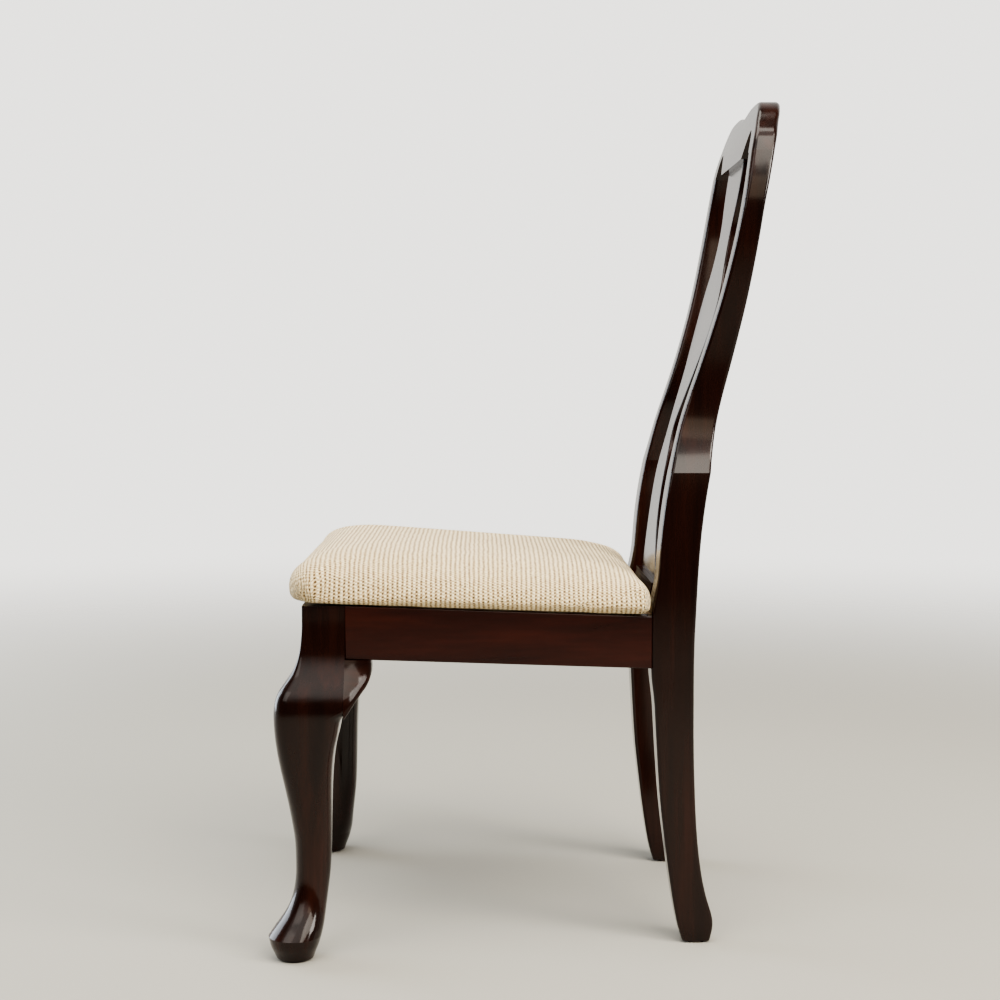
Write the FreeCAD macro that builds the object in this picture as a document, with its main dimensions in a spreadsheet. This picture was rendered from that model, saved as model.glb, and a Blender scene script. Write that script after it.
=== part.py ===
import FreeCAD, Part
import math
import os
import Sketcher

# Cabriole leg dining chair, millimetres.
# X runs across the chair (+X is the sitter's left), Y from front to back, Z up from the floor.

os.makedirs("parts", exist_ok=True)
doc = FreeCAD.newDocument("DiningChair")
V = FreeCAD.Vector

# Sizes that can be chosen
CHOSEN = [
    # seat frame
    ("front_reach", 264.8),
    ("seat_run", 411.5),
    ("front_half", 217),
    ("rear_half", 181),
    ("seat_height", 414),
    ("seat_fall", 18),
    ("rail_height", 62.5),
    ("rail_thick", 22),
    ("front_rail_set", 2),
    ("rear_rail_set", 2.5),
    ("rear_rail_thick", 28),
    ("arris", 1.2),
    # front legs
    ("post_size", 50),
    ("knee_height", 288),
    ("knee_projection", 32),
    ("knee_size", 79.5),
    ("ankle_height", 100),
    ("ankle_projection", 10),
    ("ankle_size", 41),
    ("foot_rim_height", 28),
    ("foot_projection", 40.5),
    ("foot_size", 62),
    ("foot_base_size", 44),
    # knee blocks
    ("wing_run", 30),
    ("wing_drop", 66),
    ("wing_round", 7),
    # rear legs and back posts
    ("rear_width", 42),
    ("rear_depth", 51),
    ("rear_foot_half", 185),
    ("rear_foot_width", 32),
    ("rear_foot_depth", 39),
    ("rear_kick", 36),
    ("post_step", 7),
    ("back_sweep", 108),
    ("back_depth", 48),
    ("back_depth_top", 25),
    ("shoulder_rise", 170),
    ("waist_rise", 89),
    ("waist_half", 147),
    ("bow_drop", 65),
    ("bow_half", 178),
    ("stile_width", 29),
    # crest rail
    ("joint_height", 945),
    ("joint_half", 168),
    ("crest_rise", 67.5),
    ("crest_dip", 7),
    ("crest_flat", 92),
    ("crest_sweep", 18),
    ("crest_depth", 27.5),
    ("arch_foot", 83),
    ("arch_rise", 30),
    # splat and its shoe
    ("splat_set", 7),
    ("splat_thick", 11),
    ("splat_round", 2),
    ("splat_top_half", 60),
    ("splat_neck_half", 45),
    ("splat_bulb_half", 77),
    ("splat_stem_half", 27),
    ("splat_collar_half", 47),
    ("splat_base_half", 86),
    ("tenon_half", 45),
    ("tenon_thick", 6),
    ("tenon_length", 12),
    ("shoe_half", 98),
    ("shoe_rise", 30),
    # dowels
    ("dowel_diameter", 10),
    ("dowel_reach", 18),
    ("dowel_spacing", 26),
    ("crest_dowel_diameter", 8),
    ("crest_dowel_reach", 20),
    ("fit", 0.15),
    ("bore_spare", 0.6),
    # corner blocks
    ("block_arm", 58),
    ("block_height", 40),
    ("block_drop", 9),
    # seat
    ("board_thick", 12),
    ("board_inset", 20),
    ("cover_thick", 1.5),
    ("cover_lip", 42),
    ("pad_gap", 0.3),
    ("pad_rise", 67),
    ("pad_overhang_front", 20),
    ("pad_overhang_side", 12),
    ("pad_rear_gap", 0.5),
    ("pad_corner", 30),
    ("pad_fall", 7),
    ("dust_thick", 0.8),
    # screws
    ("screw_diameter", 5),
    ("screw_head_diameter", 11),
    ("screw_head_height", 3),
    ("screw_bite", 8),
    # glides
    ("glide_height", 2.5),
    ("glide_diameter", 24),
    ("glide_pin_diameter", 4),
    ("glide_pin_length", 10),
]

# Places that follow from them
DERIVED = [
    ("front_face", "-front_reach"),
    ("post_back", "front_face + post_size"),
    ("post_inner", "front_half - post_size"),
    ("leg_face", "front_face + seat_run"),
    ("rail_bottom", "seat_height - rail_height"),
    ("rear_rail_top", "seat_height - seat_fall"),
    ("rear_rail_bottom", "rear_rail_top - rail_height"),
    ("side_run", "leg_face - post_back"),
    ("side_lean", "(front_half - rear_half) / side_run"),
    ("front_rail_inner_half", "front_half - rail_thick"),
    ("rear_rail_inner_half", "rear_half - rail_thick"),
    ("rear_inner", "rear_half - rear_width"),
    ("front_rail_front", "front_face + front_rail_set"),
    ("front_rail_back", "front_rail_front + rail_thick"),
    ("rear_rail_front", "leg_face + rear_rail_set"),
    ("rear_rail_back", "rear_rail_front + rear_rail_thick"),
    ("bore_diameter", "dowel_diameter + 2 * fit"),
    ("bore_reach", "dowel_reach + bore_spare"),
    ("side_dowel_front", "front_half - rail_thick / 2"),
    ("side_dowel_rear", "rear_half - rail_thick / 2"),
    ("front_dowel_depth", "front_rail_front + rail_thick / 2"),
    ("rear_dowel_depth", "rear_rail_front + rear_rail_thick / 2"),
    ("front_dowel_low", "seat_height - rail_height / 2 - dowel_spacing / 2"),
    ("front_dowel_high", "front_dowel_low + dowel_spacing"),
    ("rear_dowel_low", "rear_rail_top - rail_height / 2 - dowel_spacing / 2"),
    ("rear_dowel_high", "rear_dowel_low + dowel_spacing"),
    ("block_front_top", "seat_height - block_drop"),
    ("block_front_base", "block_front_top - block_height"),
    ("block_rear_top", "rear_rail_top - block_drop"),
    ("block_rear_base", "block_rear_top - block_height"),
    ("block_front_start", "post_inner - block_arm"),
    ("block_front_end", "post_back + block_arm"),
    ("block_front_end_half", "front_rail_inner_half - side_lean * block_arm"),
    ("block_rear_start", "rear_inner - block_arm"),
    ("block_rear_end", "leg_face - block_arm"),
    ("block_rear_end_half", "rear_rail_inner_half + side_lean * block_arm"),
    ("block_rear_notch", "rear_inner - pad_gap"),
    ("shoulder_height", "rear_rail_top + shoulder_rise"),
    ("waist_height", "shoulder_height + waist_rise"),
    ("bow_height", "joint_height - bow_drop"),
    ("crest_top", "joint_height + crest_rise"),
    ("shoe_top", "rear_rail_top + shoe_rise"),
    ("shoe_front", "rear_rail_front + 1"),
    ("shoe_back", "rear_rail_back - 1"),
    ("shoe_cove", "shoe_front + 4"),
    ("shoe_cove_low", "rear_rail_top + shoe_rise * 0.35"),
    ("shoe_cove_high", "rear_rail_top + shoe_rise * 0.8"),
    ("screw_front_half", "post_inner - 12"),
    ("screw_front_depth", "post_back + 13"),
    ("screw_rear_half", "rear_inner + 11"),
    ("screw_rear_depth", "leg_face - 32"),
    ("glide_pin_bore", "glide_pin_diameter + 2 * fit"),
]

sheet = doc.addObject("Spreadsheet::Sheet", "Sizes")
row = 0
for name, value in CHOSEN:
    row += 1
    sheet.set("A%d" % row, name)
    sheet.set("B%d" % row, str(value))
    sheet.setAlias("B%d" % row, name)
for name, formula in DERIVED:
    row += 1
    sheet.set("A%d" % row, name)
    sheet.set("B%d" % row, "=" + formula)
    sheet.setAlias("B%d" % row, name)
doc.recompute()


def size(name):
    return float(sheet.get(name))


S = {name: size(name) for name, _ in CHOSEN + DERIVED}
nodes = []


def keep(obj, label):
    obj.Label = label
    nodes.append(obj)
    return obj


def between(a, b, t):
    return a + (b - a) * t


def signed(name):
    """Number and expression of a cell, with a leading minus where the name has one."""
    if name.startswith("-"):
        return -S[name[1:]], "-Sizes." + name[1:]
    return S[name], "Sizes." + name


# Sketched pieces

def origin_plane(body, role):
    for feature in body.Origin.OriginFeatures:
        if feature.Role == role:
            return feature


def polygon_sketch(body, name, role, points, offset):
    """Closed polygon whose corners are tied to cells of the sheet."""
    sketch = body.newObject("Sketcher::SketchObject", name)
    sketch.AttachmentSupport = (origin_plane(body, role), [""])
    sketch.MapMode = "FlatFace"
    sketch.setExpression("AttachmentOffset.Base.z", offset)
    places = [(signed(u), signed(w)) for u, w in points]
    count = len(places)
    for i in range(count):
        (u0, _), (w0, _) = places[i]
        (u1, _), (w1, _) = places[(i + 1) % count]
        sketch.addGeometry(Part.LineSegment(V(u0, w0, 0), V(u1, w1, 0)), False)
    for i in range(count):
        sketch.addConstraint(Sketcher.Constraint("Coincident", i, 2, (i + 1) % count, 1))
    for i in range(count):
        (u, u_rule), (w, w_rule) = places[i]
        across = sketch.addConstraint(Sketcher.Constraint("DistanceX", -1, 1, i, 1, u))
        sketch.renameConstraint(across, "across%d" % i)
        sketch.setExpression("Constraints.across%d" % i, u_rule)
        along = sketch.addConstraint(Sketcher.Constraint("DistanceY", -1, 1, i, 1, w))
        sketch.renameConstraint(along, "along%d" % i)
        sketch.setExpression("Constraints.along%d" % i, w_rule)
    return sketch


def padded_body(name, role, points, offset, length):
    body = doc.addObject("PartDesign::Body", name)
    sketch = polygon_sketch(body, name + "_outline", role, points, offset)
    pad = body.newObject("PartDesign::Pad", name + "_pad")
    pad.Profile = sketch
    pad.setExpression("Length", length)
    body.Tip = pad
    return body


def eased(body, chosen):
    """Rounds the edges of a body that a test picks, by the size of an eased arris."""
    doc.recompute()
    base = body.Tip
    names = ["Edge%d" % (i + 1) for i, edge in enumerate(base.Shape.Edges) if chosen(edge.BoundBox)]
    fillet = body.newObject("PartDesign::Fillet", body.Name + "_arris")
    fillet.Base = (base, names)
    fillet.setExpression("Radius", "Sizes.arris")
    body.Tip = fillet
    return body


def round_bar(name, diameter, length, start, axis):
    """Cylinder from expressions: axis X, Y or Z, start is its low end."""
    bar = doc.addObject("Part::Cylinder", name)
    turns = {"X": (V(0, 1, 0), 90), "Y": (V(1, 0, 0), -90), "Z": (V(0, 0, 1), 0)}
    bar.Placement = FreeCAD.Placement(V(0, 0, 0), FreeCAD.Rotation(*turns[axis]))
    bar.setExpression("Radius", "(%s) / 2" % diameter)
    bar.setExpression("Height", length)
    for letter, rule in zip("xyz", start):
        bar.setExpression("Placement.Base." + letter, rule)
    return bar


def group(name, members):
    made = doc.addObject("Part::Compound", name)
    made.Links = members
    return made


def cut(name, base, tool):
    made = doc.addObject("Part::Cut", name)
    made.Base = base
    made.Tool = tool
    return made


def mirrored(name, source):
    made = doc.addObject("Part::Mirroring", name)
    made.Source = source
    made.Base = V(0, 0, 0)
    made.Normal = V(1, 0, 0)
    return made


def shaped(name, shape):
    made = doc.addObject("Part::Feature", name)
    made.Shape = shape
    return made


# Dowels of the seat frame and their bores

dowels = []
bores = {"front": [], "rear": [], "front_rail": [], "rear_rail": [], "side_rail": []}
HEIGHTS = {"front": ("front_dowel_low", "front_dowel_high"),
           "rear": ("rear_dowel_low", "rear_dowel_high")}


def dowel_joint(end, rail, axis, across, along):
    """Two dowels at a joint on each side of the chair, with a bore on the left side for each."""
    for level in HEIGHTS[end]:
        tag = "%s_%s" % (rail, level)
        for side in (1, -1):
            for kind in ("dowel", "bore"):
                if kind == "bore" and side == -1 and rail == "side_rail":
                    continue
                centre = [("-(%s)" if side == -1 else "%s") % across, along, "Sizes." + level]
                reach = "Sizes.%s_reach" % kind
                spot = "XYZ".index(axis)
                centre[spot] = "%s - %s" % (centre[spot], reach)
                bar = round_bar("%s_%s_%d" % (kind, tag, side), "Sizes.%s_diameter" % kind,
                                "2 * " + reach, centre, axis)
                if kind == "dowel":
                    dowels.append(bar)
                else:
                    bores[rail].append(bar)
                    if side == 1:
                        bores[end].append(bar)


dowel_joint("front", "side_rail", "Y", "Sizes.side_dowel_front", "Sizes.post_back")
dowel_joint("rear", "side_rail", "Y", "Sizes.side_dowel_rear", "Sizes.leg_face")
dowel_joint("front", "front_rail", "X", "Sizes.post_inner", "Sizes.front_dowel_depth")
dowel_joint("rear", "rear_rail", "X", "Sizes.rear_inner", "Sizes.rear_dowel_depth")
keep(group("rail_dowels", dowels), "rail_dowels")

# Rails

front_body = padded_body(
    "front_rail_blank", "XY_Plane",
    [("-post_inner", "front_rail_front"), ("post_inner", "front_rail_front"),
     ("post_inner", "front_rail_back"), ("-post_inner", "front_rail_back")],
    "Sizes.rail_bottom", "Sizes.rail_height")
eased(front_body, lambda b: b.YMax < S["front_rail_front"] + 1)
keep(cut("front_rail", front_body, group("front_rail_bores", bores["front_rail"])), "front_rail")

rear_body = padded_body(
    "rear_rail_blank", "XY_Plane",
    [("-rear_inner", "rear_rail_front"), ("rear_inner", "rear_rail_front"),
     ("rear_inner", "rear_rail_back"), ("-rear_inner", "rear_rail_back")],
    "Sizes.rear_rail_bottom", "Sizes.rail_height")
eased(rear_body, lambda b: b.YMin > S["rear_rail_back"] - 1)
keep(cut("rear_rail", rear_body, group("rear_rail_bores", bores["rear_rail"])), "rear_rail")

# Corner blocks, each with a hole for its seat screw

block_front = padded_body(
    "block_front_blank", "XY_Plane",
    [("block_front_start", "front_rail_back"), ("post_inner", "front_rail_back"),
     ("post_inner", "post_back"), ("front_rail_inner_half", "post_back"),
     ("block_front_end_half", "block_front_end")],
    "Sizes.block_front_base", "Sizes.block_height")
hole_wide = "Sizes.screw_diameter + 2 * Sizes.fit"
hole_long = "Sizes.block_height + 2"
front_hole = round_bar("block_front_hole", hole_wide, hole_long,
                       ["Sizes.screw_front_half", "Sizes.screw_front_depth",
                        "Sizes.block_front_base - 1"], "Z")
block_fl = keep(cut("corner_block_front_left", block_front, front_hole), "corner_block_front_left")
keep(mirrored("corner_block_front_right", block_fl), "corner_block_front_right")

block_rear = padded_body(
    "block_rear_blank", "XY_Plane",
    [("block_rear_start", "rear_rail_front"), ("block_rear_end_half", "block_rear_end"),
     ("rear_rail_inner_half", "leg_face"), ("block_rear_notch", "leg_face"),
     ("block_rear_notch", "rear_rail_front")],
    "Sizes.block_rear_base", "Sizes.block_height")
rear_hole = round_bar("block_rear_hole", hole_wide, hole_long,
                      ["Sizes.screw_rear_half", "Sizes.screw_rear_depth",
                       "Sizes.block_rear_base - 1"], "Z")
block_rl = keep(cut("corner_block_rear_left", block_rear, rear_hole), "corner_block_rear_left")
keep(mirrored("corner_block_rear_right", block_rl), "corner_block_rear_right")

# Shoe under the splat, with a coved front

shoe_body = padded_body(
    "shoe_blank", "YZ_Plane",
    [("shoe_front", "rear_rail_top"), ("shoe_back", "rear_rail_top"), ("shoe_back", "shoe_top"),
     ("shoe_cove", "shoe_top"), ("shoe_cove", "shoe_cove_high"), ("shoe_front", "shoe_cove_low")],
    "-Sizes.shoe_half", "2 * Sizes.shoe_half")
doc.recompute()


# Lofted and sawn pieces

def rounded_ring(z, x0, x1, y0, y1, radius):
    """Poles of a level rectangle with rounded corners: start, end and corner point of each side."""
    r = min(radius, 0.485 * (x1 - x0), 0.485 * (y1 - y0))
    return [V(x0 + r, y0, z), V(x1 - r, y0, z), V(x1, y0, z),
            V(x1, y0 + r, z), V(x1, y1 - r, z), V(x1, y1, z),
            V(x1 - r, y1, z), V(x0 + r, y1, z), V(x0, y1, z),
            V(x0, y1 - r, z), V(x0, y0 + r, z), V(x0, y0, z)]


SQUARE = [math.sqrt(0.5)] * 4


def ring_wire(ring, turns):
    """The ring itself: straight sides and round corners."""
    edges = []
    for i in range(4):
        start, end, corner = ring[3 * i:3 * i + 3]
        following = ring[(3 * i + 3) % 12]
        middle = (end + corner * (2 * turns[i]) + following) / (2 + 2 * turns[i])
        edges.append(Part.LineSegment(start, end).toShape())
        edges.append(Part.Arc(end, middle, following).toShape())
    return Part.Wire(edges)


def skin(rings, turns):
    """Solid with a smooth skin over a stack of rings; turns are the weights of the four round corners."""
    count = len(rings)
    knots = [i / (count - 3) for i in range(count - 2)]
    mults = [4] + [1] * (count - 4) + [4]
    faces = []
    rims = ([], [])
    for i in range(4):
        for spots, weights in (((3 * i, 3 * i + 1), [1, 1]),
                               ((3 * i + 1, 3 * i + 2, (3 * i + 3) % 12), [1, turns[i], 1])):
            across = len(spots)
            surface = Part.BSplineSurface()
            poles = [[ring[k] for k in spots] for ring in rings]
            surface.buildFromPolesMultsKnots(poles, mults, [across, across], knots, [0, 1], False, False,
                                             3, across - 1, [weights] * count)
            faces.append(surface.toShape())
            rims[0].append(surface.uIso(0).toShape())
            rims[1].append(surface.uIso(1).toShape())
    faces += [Part.Face(Part.Wire(rim)) for rim in rims]
    shell = Part.makeShell(faces)
    shell.sewShape()
    solid = Part.makeSolid(shell)
    if solid.Volume < 0:
        solid.reverse()
    return solid


def flowing(rows, marks, count):
    """Rows taken again at even marks, on curves that pass through them and never overshoot."""
    last = len(rows) - 1
    gaps = [marks[i + 1] - marks[i] for i in range(last)]
    columns = []
    for values in zip(*rows):
        rates = [(values[i + 1] - values[i]) / gaps[i] for i in range(last)]
        slopes = [rates[0]]
        for i in range(1, last):
            slope = 0
            if rates[i - 1] * rates[i] > 0:
                w0 = 2 * gaps[i] + gaps[i - 1]
                w1 = gaps[i] + 2 * gaps[i - 1]
                slope = (w0 + w1) / (w0 / rates[i - 1] + w1 / rates[i])
            slopes.append(slope)
        slopes.append(rates[-1])
        columns.append((values, slopes))
    made = []
    for step in range(count + 1):
        mark = between(marks[0], marks[-1], step / count)
        i = 0
        while i < last - 1 and mark > marks[i + 1]:
            i += 1
        t = (mark - marks[i]) / gaps[i]
        spot = []
        for values, slopes in columns:
            spot.append((1 + 2 * t) * (1 - t) ** 2 * values[i] + t * (1 - t) ** 2 * gaps[i] * slopes[i]
                        + t * t * (3 - 2 * t) * values[i + 1] + t * t * (t - 1) * gaps[i] * slopes[i + 1])
        made.append(spot)
    return made


def box(x0, x1, y0, y1, z0, z1):
    return Part.makeBox(x1 - x0, y1 - y0, z1 - z0, V(x0, y0, z0))


def bored(shape, bars):
    for bar in bars:
        shape = shape.cut(bar.Shape)
    return shape


def pin_bore(x, y):
    deep = S["glide_pin_length"] + S["bore_spare"]
    return Part.makeCylinder(S["glide_pin_bore"] / 2, deep, V(x, y, S["glide_height"]))


# Side rails, sawn to the slope and the taper of the seat

def side_rail():
    ends = []
    for y, outer, low in ((S["post_back"], S["front_half"], S["rail_bottom"]),
                          (S["leg_face"], S["rear_half"], S["rear_rail_bottom"])):
        inner, high = outer - S["rail_thick"], low + S["rail_height"]
        ends.append([V(inner, y, low), V(outer, y, low), V(outer, y, high), V(inner, y, high)])
    front, rear = ends
    sides = [[front[i - 1], front[i], rear[i], rear[i - 1]] for i in range(4)]
    shell = Part.makeShell([Part.Face(Part.makePolygon(q + q[:1])) for q in ends + sides])
    shell.sewShape()
    rail = Part.makeSolid(shell)
    if rail.Volume < 0:
        rail.reverse()
    outer_corners = front[1:3] + rear[1:3]
    rims = [e for e in rail.Edges
            if all(min(v.Point.distanceToPoint(c) for c in outer_corners) < 0.01 for v in e.Vertexes)]
    return bored(rail.makeFillet(S["arris"], rims), bores["side_rail"])


side_left = keep(shaped("side_rail_left", side_rail()), "side_rail_left")
keep(mirrored("side_rail_right", side_left), "side_rail_right")


# Cabriole front leg: height, then how far the faces stand out from and back from the post's outer faces

def cabriole_stations():
    knee_back = S["knee_size"] - S["knee_projection"]
    ankle_back = S["ankle_size"] - S["ankle_projection"]
    foot_back = S["foot_size"] - S["foot_projection"]
    base_out = S["foot_projection"] - (S["foot_size"] - S["foot_base_size"]) / 2
    base_back = S["foot_base_size"] - base_out
    lift = S["rail_bottom"] - S["knee_height"]
    made = []
    for t, out, back in ((0, 1, 1), (0.22, 0.73, 0.78), (0.6, 0.24, 0.33)):
        z = between(S["glide_height"], S["foot_rim_height"], t)
        o = between(S["foot_projection"], base_out, out)
        b = between(foot_back, base_back, back)
        made.append((z, o, b, 0.5 * (o + b)))
    made.append((S["foot_rim_height"], S["foot_projection"], foot_back, 0.5 * S["foot_size"]))
    for t, out, back in ((0.11, 0.83, 0.79), (0.28, 0.5, 0.63), (0.47, 0.23, 0.47), (0.72, 0.06, 0.24),
                         (1, 0, 0)):
        z = between(S["foot_rim_height"], S["ankle_height"], t)
        o = between(S["ankle_projection"], S["foot_projection"], out)
        b = between(ankle_back, foot_back, back)
        made.append((z, o, b, 0.5 * (o + b)))
    for t, out, back, turn in ((0.15, 0.02, 0.08, 0.48), (0.34, 0.21, 0.12, 0.42),
                               (0.53, 0.48, 0.17, 0.34), (0.65, 0.68, 0.24, 0.31),
                               (0.78, 0.86, 0.41, 0.28), (0.89, 0.96, 0.7, 0.25)):
        z = between(S["ankle_height"], S["knee_height"], t)
        o = between(S["ankle_projection"], S["knee_projection"], out)
        b = between(ankle_back, knee_back, back)
        made.append((z, o, b, turn * (o + b)))
    made.append((S["knee_height"], S["knee_projection"], knee_back, 18))
    for t, out, radius in ((0.08, 0.995, 18), (0.27, 0.95, 17), (0.48, 0.79, 15), (0.65, 0.51, 12),
                           (0.83, 0.3, 8), (1.02, 0.15, 5), (1.25, 0.06, 3)):
        spare = S["post_size"] + radius + 0.5
        made.append((S["knee_height"] + lift * t, S["knee_projection"] * out, spare, radius))
    spare = S["post_size"] + 2.5
    made.append((between(S["rail_bottom"], S["seat_height"], 0.7), 0, spare, 2))
    made.append((S["seat_height"], 0, spare, 2))
    return made


def knee_out(z):
    """How far the leg's outer face stands out at a height in the knee."""
    rows = cabriole_stations()
    for low, high in zip(rows, rows[1:]):
        if z <= high[0]:
            return between(low[1], high[1], max(0, (z - low[0]) / (high[0] - low[0])))
    return 0


def front_leg():
    rows = cabriole_stations()
    rim = [row[0] for row in rows].index(S["foot_rim_height"])
    spans = []
    for span, count in ((rows[:rim + 1], 8), (rows[rim:], 52)):
        rings = []
        for z, o, b, radius in flowing(span, [row[0] for row in span], count):
            rings.append(rounded_ring(z, S["front_half"] - b, S["front_half"] + o,
                                      S["front_face"] - o, S["front_face"] + b, radius))
        spans.append(skin(rings, SQUARE))
    leg = spans[0].fuse(spans[1])
    low = between(S["ankle_height"], S["knee_height"], 0.7)
    high = S["seat_height"] + 5
    inner, back = S["post_inner"], S["post_back"]
    leg = leg.cut(box(inner - 40, inner, S["front_face"] - 80, back + 60, low, high))
    leg = leg.cut(box(inner - 40, S["front_half"] + 80, back, back + 60, low, high))
    return bored(leg, bores["front"])


foot_out = S["foot_projection"] - S["foot_size"] / 2
front_foot = V(S["front_half"] + foot_out, S["front_face"] - foot_out, S["glide_height"])
front_shape = front_leg().cut(pin_bore(front_foot.x, front_foot.y))
front_left = keep(shaped("front_leg_left", front_shape), "front_leg_left")
keep(mirrored("front_leg_right", front_left), "front_leg_right")


# Knee blocks: run is measured from the post along the rail, out from the post's outer face

def curve(points):
    spline = Part.BSplineCurve()
    spline.interpolate([V(*p) for p in points])
    return spline.toShape()


def line(a, b):
    return Part.LineSegment(V(*a), V(*b)).toShape()


def knee_block(place, top_fall):
    """Bracket sawn to a scrolled edge, its face carried on from the knee and rounded along the edge."""
    reach, drop, inside = S["wing_run"], S["wing_drop"], -S["rail_thick"]
    top = S["rail_bottom"]
    scroll = [place(reach * t, inside - 5, top - top_fall * reach * t - drop * down)
              for t, down in ((1, 0), (1.02, 0.14), (0.97, 0.31), (0.84, 0.45), (0.62, 0.59), (0.36, 0.76),
                              (0.16, 0.9), (0, 1))]
    post = place(0, inside - 5, top)
    edges = [curve(scroll), line(scroll[-1], post), line(post, scroll[0])]
    sawn = Part.Face(Part.Wire(edges)).extrude(place(0, 60, 0) - place(0, 0, 0))
    wires = []
    for t in (0, 0.4, 0.8, 1.2):
        run = reach * t
        high = top - top_fall * run
        share = 1 - (t / 1.2) ** 1.6
        face = [place(run, knee_out(z) * share + 0.6, z - top_fall * run)
                for z in [between(top - 1.15 * drop, top, i / 8) for i in range(9)]]
        low_back = place(run, inside, high - 1.15 * drop)
        high_back = place(run, inside, high)
        wires.append(Part.Wire([curve(face), line(face[-1], high_back), line(high_back, low_back),
                                line(low_back, face[0])]))
    made = sawn.common(Part.makeLoft(wires, True, False))
    rims = [e for e in made.Edges if e.BoundBox.ZLength > 0.6 * drop and outer_rim(place, e)]
    return made.makeFillet(S["wing_round"], rims)


def outer_rim(place, edge):
    """Whether an edge is the scrolled one on the outer face."""
    middle = edge.valueAt(between(edge.FirstParameter, edge.LastParameter, 0.5))
    across = place(0, 1, 0) - place(0, 0, 0)
    along = place(1, 0, 0) - place(0, 0, 0)
    start = place(0, 0, 0)
    return (middle - start).dot(across) > -2 and (middle - start).dot(along) > 2


def behind_knee(run, out, z):
    lean = S["side_lean"] * run
    return V(S["front_half"] + out - lean, S["post_back"] + run, z)


def beside_knee(run, out, z):
    return V(S["post_inner"] - run, S["front_rail_front"] - out, z)


fall = S["seat_fall"] / S["side_run"]
wing_side = keep(shaped("knee_block_side_left", knee_block(behind_knee, fall)), "knee_block_side_left")
keep(mirrored("knee_block_side_right", wing_side), "knee_block_side_right")
wing_front = keep(shaped("knee_block_front_left", knee_block(beside_knee, 0)), "knee_block_front_left")
keep(mirrored("knee_block_front_right", wing_front), "knee_block_front_right")

# Sweep of the back: share of the height from seat to crest joint, then share of the sweep

SWEEP = [(0, 0), (0.09, 0.03), (0.17, 0.075), (0.24, 0.13), (0.3, 0.195), (0.36, 0.265), (0.43, 0.37),
         (0.5, 0.48), (0.58, 0.595), (0.65, 0.687), (0.73, 0.776), (0.82, 0.862), (0.87, 0.904),
         (0.92, 0.942), (1, 1)]
back_base = S["rear_rail_top"] + 44


def back_face(z):
    """Depth of the front face of the back at a height."""
    t = (z - back_base) / (S["joint_height"] - back_base)
    if t > 1:
        rest = (z - S["joint_height"]) / (S["crest_top"] - S["joint_height"])
        share = 0.75 * rest + 0.25 * rest * rest
        return S["leg_face"] + S["post_step"] + S["back_sweep"] + S["crest_sweep"] * share
    t = max(t, 0)
    for (t0, s0), (t1, s1) in zip(SWEEP, SWEEP[1:]):
        if t <= t1:
            share = between(s0, s1, (t - t0) / (t1 - t0))
            return S["leg_face"] + S["post_step"] + S["back_sweep"] * share


# Rear leg and back post

def back_leg_stations():
    """Height, front face, back face, inner half width, outer half width, corner radius."""
    face = S["leg_face"]
    kick = face + S["rear_kick"]
    toe = kick + S["rear_foot_depth"]
    heel = face + S["rear_depth"]
    foot_in = S["rear_foot_half"] - S["rear_foot_width"]
    inner = S["rear_inner"] - 0.5
    outer = S["rear_half"]
    z_low = S["glide_height"]
    z_rail = S["rear_rail_bottom"]
    made = [(z_low, kick + 3, toe - 3, foot_in + 3, S["rear_foot_half"] - 3, 4),
            (z_low + 8, kick, toe + 0.5, foot_in, S["rear_foot_half"], 4)]
    for t, front, back in ((0.08, 0.88, 1.05), (0.15, 0.76, 0.75), (0.225, 0.65, 0.5), (0.38, 0.46, 0.22),
                           (0.52, 0.31, 0.1), (0.74, 0.17, 0.01), (0.88, 0.1, 0)):
        made.append((z_rail * t, between(face, kick, front), between(heel, toe, back),
                     between(foot_in, inner, t), between(S["rear_foot_half"], outer, t), 4))
    made.append((z_rail - 4, face - 0.5, heel, inner, outer, 4))
    made.append((between(z_rail, S["rear_rail_top"], 0.5), face - 0.5, heel + 0.5, inner, outer, 4))
    made.append((S["rear_rail_top"] + 2, face - 0.5, heel + 2, inner, outer, 4))
    front = back_face(back_base)
    made.append((back_base, front, front + S["back_depth"], inner, outer - 0.5, 4))
    span = S["shoulder_height"] - back_base
    for t, narrow in ((0.38, 1.5), (0.69, 3.5), (0.9, 6.5)):
        z = back_base + span * t
        edge = outer - 0.5 - narrow * 0.9
        made.append((z, back_face(z), back_face(z) + S["back_depth"], inner - narrow, edge, 4))
    z = S["shoulder_height"]
    bite = outer - S["waist_half"]
    made.append((z, back_face(z), back_face(z) + S["back_depth"], inner - 7, outer - bite * 0.25, 4))
    for t, left in ((0.14, 0.52), (0.34, 0.31), (0.64, 0.1), (1, 0)):
        z = between(S["shoulder_height"], S["waist_height"], t)
        edge = S["waist_half"] + bite * left
        back = back_face(z) + between(S["back_depth"], S["back_depth_top"], 0.35 * t)
        wide = between(inner - 7, S["waist_half"] - S["stile_width"], t)
        made.append((z, back_face(z), back, min(wide, edge - 0.97 * S["stile_width"]), edge, 4))
    for t, grow in ((0.16, 0.07), (0.33, 0.25), (0.51, 0.49), (0.69, 0.74), (0.875, 0.95), (1, 1)):
        z = between(S["waist_height"], S["bow_height"], t)
        edge = between(S["waist_half"], S["bow_half"], grow)
        thin = between(0.35, 1, 1 - (1 - t) ** 1.3)
        back = back_face(z) + between(S["back_depth"], S["back_depth_top"], thin)
        made.append((z, back_face(z), back, edge - S["stile_width"], edge, 4))
    for t, drop in ((0.4, 0.18), (0.75, 0.58), (1, 1)):
        z = between(S["bow_height"], S["joint_height"], t)
        edge = between(S["bow_half"], S["joint_half"], drop)
        back = back_face(z) + between(S["back_depth_top"], S["crest_depth"], t)
        made.append((z, back_face(z), back, edge - S["stile_width"], edge, 4 + t))
    return made


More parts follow.
